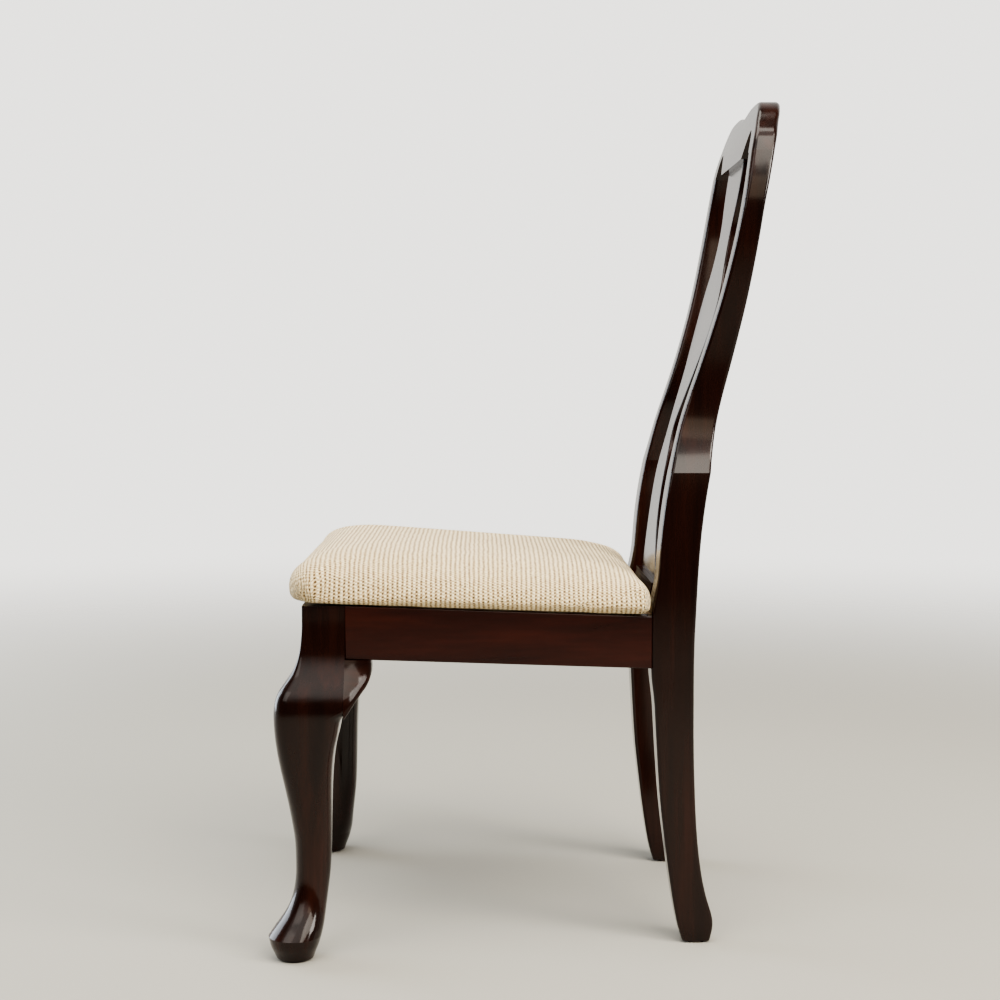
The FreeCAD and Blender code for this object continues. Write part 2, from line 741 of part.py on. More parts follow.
def back_leg():
    rows = back_leg_stations()
    shoulder = [row[0] for row in rows].index(S["shoulder_height"])
    spans = []
    for span, count in ((rows[:shoulder + 1], 40), (rows[shoulder:], 30)):
        rings = []
        for z, y0, y1, x0, x1, radius in flowing(span, [row[0] for row in span], count):
            rings.append(rounded_ring(z, x0, x1, y0, y1, radius))
        spans.append(skin(rings, SQUARE))
    leg = spans[0].fuse(spans[1])
    low = S["rear_rail_bottom"] - 1
    high = S["rear_rail_top"] + 1
    inner, face = S["rear_inner"], S["leg_face"]
    leg = leg.cut(box(inner - 40, S["rear_half"] + 40, face - 40, face, low, high))
    leg = leg.cut(box(inner - 40, inner, face - 40, face + 120, low, high))
    leg = bored(leg, bores["rear"])
    return leg.cut(crest_bore()).cut(pin_bore(rear_foot.x, rear_foot.y))


# Dowels between back posts and crest

crest_dowel_half = S["joint_half"] - S["stile_width"] / 2
crest_dowel_depth = back_face(S["joint_height"]) + S["crest_depth"] / 2


def crest_bore():
    deep = S["crest_dowel_reach"] + S["bore_spare"]
    low = V(crest_dowel_half, crest_dowel_depth, S["joint_height"] - deep)
    return Part.makeCylinder(S["crest_dowel_diameter"] / 2 + S["fit"], 2 * deep, low)


pegs = []
for side in (1, -1):
    low = S["joint_height"] - S["crest_dowel_reach"]
    peg = Part.makeCylinder(S["crest_dowel_diameter"] / 2, 2 * S["crest_dowel_reach"],
                            V(side * crest_dowel_half, crest_dowel_depth, low))
    pegs.append(shaped("crest_dowel_%d" % side, peg))
keep(group("crest_dowels", pegs), "crest_dowels")

rear_foot = V(S["rear_foot_half"] - S["rear_foot_width"] / 2,
              S["leg_face"] + S["rear_kick"] + S["rear_foot_depth"] / 2, S["glide_height"])
back_left = keep(shaped("back_leg_left", back_leg()), "back_leg_left")
keep(mirrored("back_leg_right", back_left), "back_leg_right")


# Splat: share of its height, half width as a share between two named widths

def splat_profile():
    top, neck, bulb = S["splat_top_half"], S["splat_neck_half"], S["splat_bulb_half"]
    stem, collar, base = S["splat_stem_half"], S["splat_collar_half"], S["splat_base_half"]
    return [(0, base), (0.035, between(base, collar, 0.36)), (0.075, between(base, collar, 0.62)),
            (0.13, between(base, collar, 0.88)), (0.19, collar), (0.245, between(collar, stem, 0.13)),
            (0.3, between(collar, stem, 0.45)), (0.36, stem), (0.43, between(stem, bulb, 0.2)),
            (0.51, between(stem, bulb, 0.53)), (0.58, between(stem, bulb, 0.88)), (0.645, bulb),
            (0.7, between(bulb, neck, 0.16)), (0.745, between(bulb, neck, 0.6)),
            (0.79, between(bulb, neck, 0.89)), (0.83, neck), (0.87, between(neck, top, 0.2)),
            (0.91, between(neck, top, 0.72)), (0.955, top), (1, top)]


def side_sawn(low, high, near, thick):
    """Board that follows the sweep of the back, from near to near + thick behind its front face."""
    count = 16
    heights = [between(low, high, i / count) for i in range(count + 1)]
    front = [(0, back_face(z) + near, z) for z in heights]
    rear = [(0, y + thick, z) for _, y, z in front]
    edges = [curve(front), line(front[-1], rear[-1]), curve(rear[::-1]), line(rear[0], front[0])]
    wide = 2 * (S["bow_half"] + 60)
    made = Part.Face(Part.Wire(edges)).extrude(V(wide, 0, 0))
    made.translate(V(-wide / 2, 0, 0))
    return made


def front_sawn(edges):
    deep = 600
    made = Part.Face(Part.Wire(edges)).extrude(V(0, deep, 0))
    made.translate(V(0, S["leg_face"] - 100, 0))
    return made


def tenon(z, up, spare):
    """Tenon at the end of the splat, or its mortise when spare is given."""
    mid = back_face(z) + S["splat_set"] + S["splat_thick"] / 2
    half = S["tenon_half"] + spare
    thick = S["tenon_thick"] / 2 + spare
    reach = S["tenon_length"] + 4 * spare
    bounds = (z - 2, z + reach) if up else (z - reach, z + 2)
    return box(-half, half, mid - thick, mid + thick, *bounds)


def splat():
    low, high = S["shoe_top"], S["joint_height"]
    points = [(half, 0, between(low, high, t)) for t, half in splat_profile()]
    other = [(-x, y, z) for x, y, z in points]
    edges = [curve(points), line(points[-1], other[-1]), curve(other[::-1]), line(other[0], points[0])]
    board = front_sawn(edges).common(side_sawn(low, high, S["splat_set"], S["splat_thick"]))
    rims = [e for e in board.Edges if e.BoundBox.ZLength > 0.5 * (high - low)]
    board = board.makeFillet(S["splat_round"], rims)
    return board.fuse(tenon(high, True, 0)).fuse(tenon(low, False, 0)).removeSplitter()


keep(shaped("splat", splat()), "splat")
shoe = shaped("splat_shoe", shoe_body.Shape.cut(tenon(S["shoe_top"], False, S["fit"])))
keep(shoe, "splat_shoe")


# Crest rail

def crest():
    z0, top = S["joint_height"], S["crest_top"]
    half = S["joint_half"]
    inner = half - S["stile_width"]
    flat = S["crest_flat"]
    rise = top - z0
    right = [(half, 0, z0)]
    for t, up in ((0.034, 0.125), (0.1, 0.29), (0.25, 0.48), (0.38, 0.62), (0.5, 0.76), (0.64, 0.87),
                  (0.8, 0.955), (1, 0.99)):
        right.append((between(half, flat, t), 0, z0 + rise * up))
    right.append((flat * 0.65, 0, top))
    right.append((flat * 0.42, 0, top - S["crest_dip"] * 0.2))
    right.append((flat * 0.2, 0, top - S["crest_dip"] * 0.76))
    crown = right + [(0, 0, top - S["crest_dip"])] + [(-x, y, z) for x, y, z in right[::-1]]
    arch = [(inner, 0, z0)]
    for t, up in ((0.1, 0.44), (0.23, 0.8), (0.42, 0.99), (0.6, 0.8), (0.8, 0.4), (1, 0)):
        arch.append((between(inner, S["arch_foot"], t), 0, z0 + S["arch_rise"] * up))
    other = [(-x, y, z) for x, y, z in arch]
    edges = [curve(crown), line(crown[-1], other[0]), curve(other), line(other[-1], arch[-1]),
             curve(arch[::-1]), line(arch[0], crown[0])]
    made = front_sawn(edges).common(side_sawn(z0 - 5, top + 8, 0, S["crest_depth"]))
    rims = [e for e in made.Edges if e.BoundBox.XLength > 1.8 * half and e.BoundBox.ZLength > 20]
    made = made.makeFillet(5, rims)
    made = made.cut(tenon(z0, True, S["fit"]))
    return made.cut(crest_bore()).cut(crest_bore().mirror(V(0, 0, 0), V(1, 0, 0)))


keep(shaped("crest_rail", crest()), "crest_rail")

# Seat, built level and then tipped to the slope of the side rails.
# Its own frame starts on the top of the rails at the back of the front posts.

tilt = -math.degrees(math.atan2(S["seat_fall"], S["side_run"]))
seat_place = FreeCAD.Placement(V(0, S["post_back"], S["seat_height"]), FreeCAD.Rotation(V(1, 0, 0), tilt))
pad_front = -(S["post_size"] + S["pad_overhang_front"])
pad_back = S["side_run"] - S["pad_rear_gap"]


def pad_half(v):
    return S["front_half"] + S["pad_overhang_side"] - S["side_lean"] * v


def pad_ring(inset, h, drop):
    """Outline of the seat drawn in by an inset at a height, its back edge lowered by a drop."""
    slant = math.sqrt(1 + S["side_lean"] ** 2)
    v0, v1 = pad_front + inset, pad_back - inset
    low = h - drop * (v1 - pad_front) / (pad_back - pad_front)
    high = h - drop * inset / (pad_back - pad_front)
    spots = [V(pad_half(v0) - inset * slant, v0, high), V(pad_half(v1) - inset * slant, v1, low)]
    spots += [V(-p.x, p.y, p.z) for p in spots[::-1]]
    radius = max(12, S["pad_corner"] - 0.12 * inset)
    ring = []
    turns = []
    for i in range(4):
        here, there, beyond = spots[i], spots[(i + 1) % 4], spots[(i + 2) % 4]
        behind = spots[i - 1]
        along = (there - here).normalize()
        reach = radius / math.tan((behind - here).getAngle(along) / 2)
        corner = (here - there).getAngle(beyond - there)
        ring += [here + along * reach, there - along * (radius / math.tan(corner / 2)), there]
        turns.append(math.sin(corner / 2))
    return ring, turns


def pad_form(thin, base):
    """Pillow drawn in at the foot, full in the side and crowned on top, smaller by a thickness."""
    rise = S["pad_rise"] - thin - base
    rows = [(0, 11), (0.04, 6), (0.12, 2), (0.28, 0), (0.44, 1), (0.58, 5), (0.68, 12), (0.77, 23),
            (0.84, 40), (0.885, 60), (0.93, 90), (0.97, 122), (1, 155)]
    marks = [0]
    for (s0, i0), (s1, i1) in zip(rows, rows[1:]):
        marks.append(marks[-1] + math.hypot(i1 - i0, (s1 - s0) * rise))
    stack = [pad_ring(inset + thin, base + rise * share, S["pad_fall"] * share)
             for share, inset in flowing(rows, marks, 26)]
    return skin([ring for ring, _ in stack], stack[0][1])


def plate(inset, low, high):
    return Part.Face(ring_wire(*pad_ring(inset, low, 0))).extrude(V(0, 0, high - low))


def screw_bar(half, depth, radius, low, high):
    return Part.makeCylinder(radius, high - low, V(half, depth, low))


def seat_tool(shape):
    """A tool that stands in the chair's frame, moved into the seat's own."""
    tool = shape.copy()
    tool.Placement = seat_place.inverse().multiply(tool.Placement)
    return tool


screw_spots = []
for end in ("front", "rear"):
    half, depth = S["screw_%s_half" % end], S["screw_%s_depth" % end]
    base = S["block_%s_base" % end]
    under = S["seat_height"] - fall * (depth - S["post_back"]) + S["cover_thick"]
    screw_spots.append((half, depth, base, under + S["screw_bite"]))
    screw_spots.append((-half, depth, base, under + S["screw_bite"]))

board_low = S["cover_thick"]
board_high = board_low + S["board_thick"]
board = plate(S["board_inset"], board_low, board_high)
dust = plate(S["cover_lip"] + 2, board_low - S["dust_thick"], board_low)
foam = pad_form(S["cover_thick"] + S["pad_gap"], S["cover_thick"] + S["pad_gap"])
foam = foam.cut(plate(S["board_inset"] - S["pad_gap"], -5, board_high))
cover = pad_form(0, 0).cut(pad_form(S["cover_thick"], S["cover_thick"]))
cover = cover.cut(plate(S["cover_lip"], -5, S["cover_thick"] + 1))
for half, depth, base, tip in screw_spots:
    wide = S["screw_diameter"] / 2 + S["fit"]
    hole = seat_tool(screw_bar(half, depth, wide, base, tip + S["bore_spare"]))
    board = board.cut(hole)
    dust = dust.cut(hole)
    cover = cover.cut(hole)

for name, shape in (("seat_board", board), ("seat_foam", foam), ("seat_cover", cover),
                    ("dust_cover", dust)):
    piece = keep(shaped(name, shape), name)
    piece.Placement = seat_place

# Screws that hold the seat

screws = []
for number, (half, depth, base, tip) in enumerate(screw_spots):
    shank = screw_bar(half, depth, S["screw_diameter"] / 2, base - 1, tip)
    head = screw_bar(half, depth, S["screw_head_diameter"] / 2, base - S["screw_head_height"], base)
    screws.append(shaped("seat_screw_%d" % number, head.fuse(shank).removeSplitter()))
keep(group("seat_screws", screws), "seat_screws")

# Glides

glides = []
for spot in (front_foot, rear_foot):
    for side in (1, -1):
        at = V(side * spot.x, spot.y, 0)
        disc = Part.makeCylinder(S["glide_diameter"] / 2, S["glide_height"], at)
        pin = Part.makeCylinder(S["glide_pin_diameter"] / 2, S["glide_pin_length"] + 1,
                                at + V(0, 0, S["glide_height"] - 1))
        glides.append(shaped("glide_%d" % len(glides), disc.fuse(pin).removeSplitter()))
keep(group("foot_glides", glides), "foot_glides")

doc.recompute()
for obj in doc.Objects:
    if "Invalid" in obj.State or "Error" in obj.State:
        raise RuntimeError("bad object: " + obj.Label)
for obj in nodes:
    if obj.Shape.isNull() or not obj.Shape.isValid():
        raise RuntimeError("bad shape: " + obj.Label)
for obj in nodes:
    obj.Shape.exportStep("parts/%s.step" % obj.Label)
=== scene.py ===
import math

import bpy
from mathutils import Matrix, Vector


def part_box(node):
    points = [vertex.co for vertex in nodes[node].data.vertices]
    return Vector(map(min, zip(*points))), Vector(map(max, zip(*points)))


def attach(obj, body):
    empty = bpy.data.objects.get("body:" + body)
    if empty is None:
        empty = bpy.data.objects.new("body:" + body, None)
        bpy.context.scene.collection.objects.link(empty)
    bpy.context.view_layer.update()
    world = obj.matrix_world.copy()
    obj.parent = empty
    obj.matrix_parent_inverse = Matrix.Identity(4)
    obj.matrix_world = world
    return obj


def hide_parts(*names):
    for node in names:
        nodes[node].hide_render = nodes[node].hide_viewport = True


# Cabriole leg dining chair: lacquered wood frame and a slip seat covered in ribbed knit.
# Metres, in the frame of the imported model: +X is the sitter's left, -Y the front, +Z up.

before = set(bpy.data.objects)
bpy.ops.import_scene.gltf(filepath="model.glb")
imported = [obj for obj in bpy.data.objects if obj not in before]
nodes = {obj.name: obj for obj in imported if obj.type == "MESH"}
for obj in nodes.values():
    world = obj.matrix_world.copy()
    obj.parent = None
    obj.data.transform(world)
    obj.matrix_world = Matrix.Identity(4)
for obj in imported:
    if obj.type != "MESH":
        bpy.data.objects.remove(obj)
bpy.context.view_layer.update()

# Places read from the frame

rail_low, rail_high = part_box("side_rail_left")
front_rail_low, front_rail_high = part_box("front_rail")
foam_low, foam_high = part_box("seat_foam")
board_low, board_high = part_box("seat_board")
rail_depth = front_rail_high.z - front_rail_low.z
seat_fall = (rail_high.z - rail_low.z - rail_depth) / (rail_high.y - rail_low.y)


def seat_level(y):
    """Height of the top of the side rails at a depth."""
    return rail_high.z - seat_fall * (y - rail_low.y)


# Node helpers

def new_material(name):
    material = bpy.data.materials.new(name)
    material.use_nodes = True
    tree = material.node_tree
    return material, tree, tree.nodes["Principled BSDF"]


def node(tree, kind, **settings):
    made = tree.nodes.new(kind)
    for key, value in settings.items():
        setattr(made, key, value)
    return made


def number(tree, operation, first, second=None, clamp=False):
    """Math node on sockets or plain numbers."""
    made = node(tree, "ShaderNodeMath", operation=operation, use_clamp=clamp)
    for socket, value in zip(made.inputs, (first, second)):
        if value is None:
            continue
        if isinstance(value, (int, float)):
            socket.default_value = value
        else:
            tree.links.new(value, socket)
    return made.outputs[0]


def stretched(tree, scale):
    """Object coordinates, scaled along each axis."""
    place = node(tree, "ShaderNodeTexCoord")
    mapping = node(tree, "ShaderNodeMapping")
    mapping.inputs["Scale"].default_value = scale
    tree.links.new(place.outputs["Object"], mapping.inputs["Vector"])
    return mapping.outputs["Vector"]


def noise(tree, vector, scale, detail, roughness=0.55):
    made = node(tree, "ShaderNodeTexNoise")
    made.inputs["Scale"].default_value = scale
    made.inputs["Detail"].default_value = detail
    made.inputs["Roughness"].default_value = roughness
    tree.links.new(vector, made.inputs["Vector"])
    return made.outputs["Fac"]


def ramp(tree, factor, stops):
    made = node(tree, "ShaderNodeValToRGB")
    band = made.color_ramp
    while len(band.elements) < len(stops):
        band.elements.new(0.5)
    for element, (place, colour) in zip(band.elements, stops):
        element.position = place
        element.color = (*colour, 1)
    tree.links.new(factor, made.inputs["Fac"])
    return made.outputs["Color"]


def bump(tree, shader, height, strength, distance):
    made = node(tree, "ShaderNodeBump")
    made.inputs["Strength"].default_value = strength
    made.inputs["Distance"].default_value = distance
    tree.links.new(height, made.inputs["Height"])
    tree.links.new(made.outputs["Normal"], shader.inputs["Normal"])


# Finishes

GRAIN = {"upright": (1, 1, 0.055), "across": (0.055, 1, 1), "deep": (1, 0.055, 1)}
POST_STAIN = ((0.0042, 0.0014, 0.0008), (0.012, 0.0033, 0.0017), (0.026, 0.0066, 0.0034))
# The rails are coloured a little redder than the posts.
REDDER_RAIL_TONES = ((0.008, 0.0013, 0.0006), (0.02, 0.0031, 0.0015), (0.034, 0.0057, 0.0026))
WOOD_SHINE = 0.03
COAT_ROUGHNESS = 0.12
COAT_IOR = 1.36
KNEE_GLOSS = 0.45
SHOE_GLOSS = 0.2
EVEN = (1, 1, 1)


def lacquered_wood(name, direction, wood_tones, gloss=1):
    """Dark red-brown wood under clear lacquer, its grain along one axis."""
    material, tree, shader = new_material(name)
    along = stretched(tree, GRAIN[direction])
    figure = noise(tree, along, 42, 5, 0.6)
    dark, middle, light = wood_tones
    colour = ramp(tree, figure, [(0.28, dark), (0.52, middle), (0.74, light)])
    tree.links.new(colour, shader.inputs["Base Color"])
    pores = noise(tree, along, 520, 3, 0.5)
    rough = number(tree, "ADD", number(tree, "MULTIPLY", pores, 0.12), 0.3)
    tree.links.new(rough, shader.inputs["Roughness"])
    shader.inputs["Specular IOR Level"].default_value = WOOD_SHINE
    bump(tree, shader, pores, 0.05, 0.0004)
    shader.inputs["Coat Weight"].default_value = gloss
    shader.inputs["Coat Roughness"].default_value = COAT_ROUGHNESS
    shader.inputs["Coat IOR"].default_value = COAT_IOR
    return material


def plain_wood():
    """Unfinished wood of the blocks and dowels."""
    material, tree, shader = new_material("plain_wood")
    figure = noise(tree, stretched(tree, (1, 0.08, 1)), 60, 5, 0.6)
    colour = ramp(tree, figure, [(0.3, (0.33, 0.2, 0.1)), (0.7, (0.52, 0.36, 0.2))])
    tree.links.new(colour, shader.inputs["Base Color"])
    shader.inputs["Roughness"].default_value = 0.7
    bump(tree, shader, figure, 0.15, 0.0006)
    return material


def plywood():
    """Seat board with its plies showing as bands along the edge."""
    material, tree, shader = new_material("seat_board_plywood")
    layers = node(tree, "ShaderNodeTexWave", bands_direction="Z")
    layers.inputs["Scale"].default_value = 90
    layers.inputs["Distortion"].default_value = 0.6
    tree.links.new(stretched(tree, EVEN), layers.inputs["Vector"])
    colour = ramp(tree, layers.outputs["Fac"], [(0.2, (0.3, 0.19, 0.1)), (0.8, (0.58, 0.43, 0.27))])
    tree.links.new(colour, shader.inputs["Base Color"])
    shader.inputs["Roughness"].default_value = 0.75
    return material


def dust_cloth():
    """Thin black cloth under the seat, with a faint weave."""
    material, tree, shader = new_material("dust_cloth")
    weave = noise(tree, stretched(tree, EVEN), 900, 2)
    colour = ramp(tree, weave, [(0.35, (0.012, 0.012, 0.013)), (0.7, (0.035, 0.035, 0.037))])
    tree.links.new(colour, shader.inputs["Base Color"])
    shader.inputs["Roughness"].default_value = 0.95
    bump(tree, shader, weave, 0.3, 0.0004)
    return material


def screw_steel():
    """Zinc-plated steel with a slight cloudiness."""
    material, tree, shader = new_material("screw_steel")
    cloud = noise(tree, stretched(tree, EVEN), 400, 4)
    colour = ramp(tree, cloud, [(0.3, (0.42, 0.42, 0.43)), (0.7, (0.6, 0.6, 0.6))])
    tree.links.new(colour, shader.inputs["Base Color"])
    shader.inputs["Metallic"].default_value = 1
    shader.inputs["Roughness"].default_value = 0.35
    return material


def glide_plastic():
    """Dark brown nylon, slightly scuffed."""
    material, tree, shader = new_material("glide_plastic")
    scuff = noise(tree, stretched(tree, EVEN), 350, 4)
    colour = ramp(tree, scuff, [(0.35, (0.018, 0.011, 0.008)), (0.75, (0.045, 0.03, 0.022))])
    tree.links.new(colour, shader.inputs["Base Color"])
    shader.inputs["Roughness"].default_value = 0.55
    bump(tree, shader, scuff, 0.1, 0.0003)
    return material


RIB_PITCH = 0.0056
STITCH_PITCH = 0.0035
RIB_SWAY = 0.5
STITCH_SLANT = 0.5
LOOP_BASE = 0.4
LOOP_SWELL = 0.55
LINK_HEIGHT = 0.52
YARN_FUZZ = 0.75
HOLE_LEVEL = 0.36
KNIT_RELIEF = 0.002
# From the holes to the stitch tops: the dark stops are painted shade in the knit's furrows and holes,
# the light ones are the cream yarn.
KNIT_COLOURS_WITH_PAINTED_SHADE = [(0.06, (0.045, 0.024, 0.01)), (0.3, (0.4, 0.27, 0.13)),
               (0.52, (0.84, 0.645, 0.365)), (0.76, (1, 0.91, 0.655))]


def hump(tree, count):
    """Smooth rise and fall, once for each whole count."""
    wave = number(tree, "SINE", number(tree, "MULTIPLY", count, math.pi))
    return number(tree, "MULTIPLY", wave, wave)


def ribbed_knit():
    """Cream knit laid out by the weave map: ribs of stitches with small holes between, its colour
    painted darker down into the furrows and holes as painted shade.
    """
    material, tree, shader = new_material("ribbed_knit")
    weave = node(tree, "ShaderNodeUVMap", uv_map="weave")
    parts = node(tree, "ShaderNodeSeparateXYZ")
    tree.links.new(weave.outputs["UV"], parts.inputs["Vector"])
    sway = number(tree, "MULTIPLY", noise(tree, stretched(tree, EVEN), 35, 2), RIB_SWAY)
    across = number(tree, "ADD", number(tree, "DIVIDE", parts.outputs["X"], RIB_PITCH), sway)
    slant = number(tree, "MULTIPLY", across, STITCH_SLANT)
    along = number(tree, "ADD", number(tree, "DIVIDE", parts.outputs["Y"], STITCH_PITCH), slant)
    rib = hump(tree, across)
    stitch = hump(tree, along)
    swell = number(tree, "ADD", number(tree, "MULTIPLY", stitch, LOOP_SWELL), LOOP_BASE)
    loop = number(tree, "MULTIPLY", rib, swell)
    furrow = number(tree, "SUBTRACT", 1, rib)
    between = number(tree, "MULTIPLY", number(tree, "SUBTRACT", 1, stitch), LINK_HEIGHT)
    link = number(tree, "MULTIPLY", furrow, between)
    height = number(tree, "ADD", loop, link)
    yarn = noise(tree, stretched(tree, EVEN), 420, 3)
    fuzzy = number(tree, "ADD", height, number(tree, "MULTIPLY", yarn, YARN_FUZZ))
    # Painted shade: the colour darkens where the knit's relief is low, in the furrows and in the holes
    # between stitches.
    shade = number(tree, "SUBTRACT", fuzzy, HOLE_LEVEL, clamp=True)
    colour = ramp(tree, shade, KNIT_COLOURS_WITH_PAINTED_SHADE)
    tree.links.new(colour, shader.inputs["Base Color"])
    shader.inputs["Roughness"].default_value = 0.9
    shader.inputs["Specular IOR Level"].default_value = 0.2
    shader.inputs["Sheen Weight"].default_value = 0.2
    shader.inputs["Sheen Roughness"].default_value = 0.5
    bump(tree, shader, fuzzy, 0.9, KNIT_RELIEF)
    return material


FLOOR_SIZE = 12
FLOOR_TINT = (0.4, 0.385, 0.34, 1)
FADE_START = 1.2
FADE_END = 4.5


def pale_floor():
    """Plain pale floor that gives way to the background far from the chair."""
    material, tree, shader = new_material("pale_floor")
    place = node(tree, "ShaderNodeTexCoord")
    length = node(tree, "ShaderNodeVectorMath", operation="LENGTH")
    tree.links.new(place.outputs["Object"], length.inputs[0])
    fade = node(tree, "ShaderNodeMapRange", interpolation_type="SMOOTHSTEP")
    fade.inputs["From Min"].default_value = FADE_START
    fade.inputs["From Max"].default_value = FADE_END
    tree.links.new(length.outputs["Value"], fade.inputs["Value"])
    shader.inputs["Base Color"].default_value = FLOOR_TINT
    shader.inputs["Roughness"].default_value = 0.75
    clear = node(tree, "ShaderNodeBsdfTransparent")
    mix = node(tree, "ShaderNodeMixShader")
    tree.links.new(fade.outputs["Result"], mix.inputs["Fac"])
    tree.links.new(shader.outputs["BSDF"], mix.inputs[1])
    tree.links.new(clear.outputs["BSDF"], mix.inputs[2])
    tree.links.new(mix.outputs["Shader"], tree.nodes["Material Output"].inputs["Surface"])
    return material


# Modelling helpers

def only(obj):
    """Makes obj the one selected and active object."""
    if bpy.context.object and bpy.context.object.mode != "OBJECT":
        bpy.ops.object.mode_set(mode="OBJECT")
    bpy.ops.object.select_all(action="DESELECT")
    obj.select_set(True)
    bpy.context.view_layer.objects.active = obj


MERGE_GAP = 0.00002


def copied(name, source):
    """New piece with a copy of a CAD node's mesh, its loose triangles joined up."""
    piece = bpy.data.objects.new(name, nodes[source].data.copy())
    bpy.context.scene.collection.objects.link(piece)
    only(piece)
    bpy.ops.object.mode_set(mode="EDIT")
    bpy.ops.mesh.select_all(action="SELECT")
    bpy.ops.mesh.customdata_custom_splitnormals_clear()
    bpy.ops.mesh.remove_doubles(threshold=MERGE_GAP)
    bpy.ops.object.mode_set(mode="OBJECT")
    return piece


def dress(obj, material):
    obj.data.materials.clear()
    obj.data.materials.append(material)


def apply_all(obj):
    only(obj)
    for modifier in list(obj.modifiers):
        bpy.ops.object.modifier_apply(modifier=modifier.name)


# The slip seat's cushion

VOXEL = 0.005
REAR_ROUND = 0.036
SWELL_SHARE = 0.3
SWELL_LIMIT = 0.004
COVER_THICKNESS = 0.0012
SIDE_DRAW = 0.06
ROUND_SAVING = 0.86
BOARD_MARGIN = 0.004
RECESS_HEIGHT = 0.0185
UNDER_HEIGHT = 0.004
FREE_HEIGHT = 0.012
SLICE_REACH = 0.006
PRESSURE = 4
SWELL_FRAMES = 20
SOFTENING = 0.5
SOFTENING_ROUNDS = 8


def resting_points(pad):
    """Points under the cushion and around its board, which stay where they are."""
    found = []
    for v in pad.data.vertices:
        height = v.co.z - seat_level(v.co.y)
        inside = (board_low.y - BOARD_MARGIN < v.co.y < board_high.y + BOARD_MARGIN
                  and abs(v.co.x) < board_high.x + BOARD_MARGIN)
        recess = inside and height < RECESS_HEIGHT and v.normal.z < -0.5
        if height < UNDER_HEIGHT or recess:
            found.append(v.index)
    return found


def square_rear(pad):
    """Draws the cushion's rear corners out towards the back posts."""
    middle = foam_high.y - REAR_ROUND
    level = [abs(v.co.x) for v in pad.data.vertices if abs(v.co.y - middle) < SLICE_REACH]
    half = max(level) - REAR_ROUND
    for v in pad.data.vertices:
        a, b = abs(v.co.x) - half, v.co.y - middle
        if a > 0 and b > 0:
            grow = math.hypot(a, b) / max(a, b)
            v.co.x = math.copysign(half + a * grow, v.co.x)
            v.co.y = middle + b * grow


def fill_out(pad):
    """Short cloth simulation: the cover swells over the padding and settles."""
    start = [v.co.copy() for v in pad.data.vertices]
    group = pad.vertex_groups.new(name="resting")
    group.add(resting_points(pad), 1, "REPLACE")
    cloth = pad.modifiers.new("filling", "CLOTH")
    cloth.settings.quality = 6
    cloth.settings.use_pressure = True
    cloth.settings.uniform_pressure_force = PRESSURE
    cloth.settings.effector_weights.gravity = 0
    cloth.settings.vertex_group_mass = group.name
    cloth.point_cache.frame_end = SWELL_FRAMES
    scene = bpy.context.scene
    for step in range(1, SWELL_FRAMES + 1):
        scene.frame_set(step)
    only(pad)
    bpy.ops.object.modifier_apply(modifier=cloth.name)
    scene.frame_set(1)
    for v, was in zip(pad.data.vertices, start):
        moved = (v.co - was) * SWELL_SHARE
        if moved.length > SWELL_LIMIT:
            moved = moved.normalized() * SWELL_LIMIT
        v.co = was + moved


def lay_weave(pad):
    """Weave map in metres: ribs run across the seat and down its sides, as one cloth drawn over it."""
    mesh = pad.data
    top = max(v.co.z - seat_level(v.co.y) for v in mesh.vertices)
    middle = (foam_low.y + foam_high.y) / 2
    widest = {}
    tallest = {}
    for v in mesh.vertices:
        slice_at = round(v.co.y / VOXEL)
        widest[slice_at] = max(widest.get(slice_at, 0), abs(v.co.x))
        tallest[slice_at] = max(tallest.get(slice_at, 0), v.co.z - seat_level(v.co.y))
    spots = []
    for v in mesh.vertices:
        height = v.co.z - seat_level(v.co.y)
        slice_at = round(v.co.y / VOXEL)
        u = v.co.y - middle
        u += math.copysign((top - height) * v.normal.y ** 2, u)
        edge = widest[slice_at] - SIDE_DRAW
        over = max(abs(v.co.x) - edge, 0)
        if v.normal.z < 0:
            over = 2 * SIDE_DRAW - over
        fall = max(tallest[slice_at] - height, 0) * (1 - v.normal.y ** 2)
        around = over + fall
        if around > 0:
            around -= ROUND_SAVING * over * fall / around
        w = math.copysign(min(abs(v.co.x), edge) + around, v.co.x)
        spots.append((u, w))
    layer = mesh.uv_layers.new(name="weave")
    for loop in mesh.loops:
        layer.data[loop.index].uv = spots[loop.vertex_index]


def seat_cushion():
    """Crowned cushion of the slip seat, in place of the cover and the padding."""
    pad = copied("seat_cushion", "seat_foam")
    pad.data.remesh_voxel_size = VOXEL
    bpy.ops.object.voxel_remesh()
    square_rear(pad)
    resting = set(resting_points(pad))
    for v in pad.data.vertices:
        if v.index not in resting:
            v.co += v.normal * COVER_THICKNESS
    fill_out(pad)
    for v in pad.data.vertices:
        v.co.y = min(v.co.y, foam_high.y + COVER_THICKNESS / 4)
    softer = pad.modifiers.new("softer", "SMOOTH")
    softer.factor = SOFTENING
    softer.iterations = SOFTENING_ROUNDS
    free = pad.vertex_groups.new(name="free")
    upper = [v.index for v in pad.data.vertices if v.co.z - seat_level(v.co.y) > FREE_HEIGHT]
    free.add([index for index in upper if index not in resting], 1, "REPLACE")
    softer.vertex_group = free.name
    finer = pad.modifiers.new("finer", "SUBSURF")
    finer.levels = 1
    finer.render_levels = 1
    apply_all(pad)
    bpy.ops.object.shade_smooth()
    lay_weave(pad)
    dress(pad, ribbed_knit())
    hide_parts("seat_cover", "seat_foam")
    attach(pad, "root")


# The cloth under the seat

DUST_THICKNESS = 0.0008
DUST_SLACK = 0.0025
DUST_HELD = 0.8
DUST_CUTS = 14
DUST_UNDERSIDE = -0.9


def cut_across(low, high, direction):
    """Cuts the selected faces into even strips, for the cloth to bend along."""
    for step in range(1, DUST_CUTS):
        bpy.ops.mesh.select_all(action="SELECT")
        place = low + (high - low) * step / DUST_CUTS
        bpy.ops.mesh.bisect(plane_co=place, plane_no=direction)


